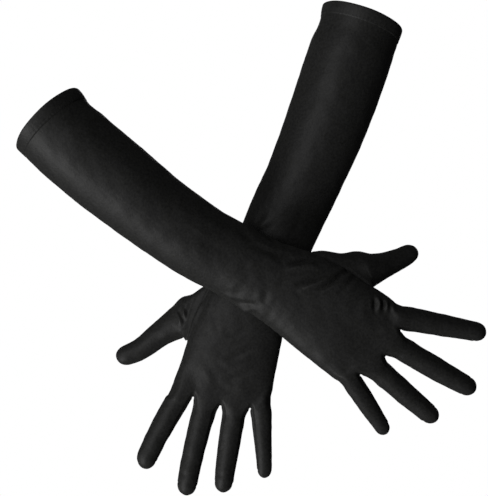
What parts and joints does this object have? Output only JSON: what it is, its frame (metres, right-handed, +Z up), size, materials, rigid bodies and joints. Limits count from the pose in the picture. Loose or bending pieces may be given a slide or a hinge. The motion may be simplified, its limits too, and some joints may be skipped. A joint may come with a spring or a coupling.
{
  "type": "opera gloves",
  "caption": "Pair of elbow-length black stretch-satin opera gloves as worn, crossed at the wrists, with fourchette fingers, set-in thumbs and hemmed mouths.",
  "frame": {"origin": "centre of the left glove's arm opening", "axes": "+Z up, towards the arm openings; -Y out of the backs of the hands; +X towards the left glove's little-finger side"},
  "size_m": [0.3848, 0.119, 0.4119],
  "materials": {
    "satin": "black stretch satin, soft sheen",
    "thread": "black polyester sewing thread"
  },
  "bodies": {
    "left_glove": {"left_back_panel": "satin", "left_palm_panel": "satin", "left_hem": "satin", "left_hem_stitching": "thread", "left_thumb_gusset": "satin", "left_thumb_seam_thread": "thread", "left_little_side_thread": "thread", "left_thumb_side_thread": "thread"},
    "right_glove": {"right_back_panel": "satin", "right_palm_panel": "satin", "right_hem": "satin", "right_hem_stitching": "thread", "right_thumb_gusset": "satin", "right_thumb_seam_thread": "thread", "right_little_side_thread": "thread", "right_thumb_side_thread": "thread"},
    "left_index_finger": {"left_index_fourchette": "satin", "left_index_back": "satin", "left_index_palm": "satin"},
    "left_middle_finger": {"left_middle_fourchette_thumb_side": "satin", "left_middle_fourchette_little_side": "satin", "left_middle_back": "satin", "left_middle_palm": "satin"},
    "left_ring_finger": {"left_ring_fourchette_thumb_side": "satin", "left_ring_fourchette_little_side": "satin", "left_ring_back": "satin", "left_ring_palm": "satin"},
    "left_little_finger": {"left_little_fourchette": "satin", "left_little_back": "satin", "left_little_palm": "satin"},
    "left_thumb_finger": {"left_thumb": "satin"},
    "right_index_finger": {"right_index_fourchette": "satin", "right_index_back": "satin", "right_index_palm": "satin"},
    "right_middle_finger": {"right_middle_fourchette_thumb_side": "satin", "right_middle_fourchette_little_side": "satin", "right_middle_back": "satin", "right_middle_palm": "satin"},
    "right_ring_finger": {"right_ring_fourchette_thumb_side": "satin", "right_ring_fourchette_little_side": "satin", "right_ring_back": "satin", "right_ring_palm": "satin"},
    "right_little_finger": {"right_little_fourchette": "satin", "right_little_back": "satin", "right_little_palm": "satin"},
    "right_thumb_finger": {"right_thumb": "satin"}
  },
  "joints": [
    {"name": "right_glove_apart", "type": "slide", "parent": "left_glove", "child": "right_glove", "axis": [0, -1, 0], "range_m": [0, 0.15]},
    {"name": "left_index_fold", "type": "hinge", "parent": "left_glove", "child": "left_index_finger", "pos_m": [-0.14952, 0.01613, -0.3115], "axis": [0.8768, 0, -0.4809], "range_deg": [0, 80]},
    {"name": "left_middle_fold", "type": "hinge", "parent": "left_glove", "child": "left_middle_finger", "pos_m": [-0.12881, 0.01666, -0.31906], "axis": [0.97, 0, -0.243], "range_deg": [0, 80]},
    {"name": "left_ring_fold", "type": "hinge", "parent": "left_glove", "child": "left_ring_finger", "pos_m": [-0.10656, 0.01648, -0.32227], "axis": [0.9896, 0, -0.1439], "range_deg": [0, 80]},
    {"name": "left_little_fold", "type": "hinge", "parent": "left_glove", "child": "left_little_finger", "pos_m": [-0.08486, 0.01523, -0.32121], "axis": [0.9976, 0, 0.069], "range_deg": [0, 80]},
    {"name": "left_thumb_fold", "type": "hinge", "parent": "left_glove", "child": "left_thumb_finger", "pos_m": [-0.16043, 0.03191, -0.25899], "axis": [0.5269, 0, -0.8499], "range_deg": [0, 50]},
    {"name": "right_index_fold", "type": "hinge", "parent": "right_glove", "child": "right_index_finger", "pos_m": [0.02765, -0.03405, -0.24643], "axis": [0.171, 0, 0.9853], "range_deg": [0, 80]},
    {"name": "right_middle_fold", "type": "hinge", "parent": "right_glove", "child": "right_middle_finger", "pos_m": [0.02168, -0.03349, -0.2685], "axis": [0.4789, 0, 0.8779], "range_deg": [0, 80]},
    {"name": "right_ring_fold", "type": "hinge", "parent": "right_glove", "child": "right_ring_finger", "pos_m": [0.00864, -0.03367, -0.2863], "axis": [0.6483, 0, 0.7614], "range_deg": [0, 80]},
    {"name": "right_little_fold", "type": "hinge", "parent": "right_glove", "child": "right_little_finger", "pos_m": [-0.01013, -0.03521, -0.29762], "axis": [0.8291, 0, 0.5591], "range_deg": [0, 80]},
    {"name": "right_thumb_fold", "type": "hinge", "parent": "right_glove", "child": "right_thumb_finger", "pos_m": [-0.00273, -0.01874, -0.21149], "axis": [-0.387, 0, 0.9221], "range_deg": [0, 50]}
  ]
}
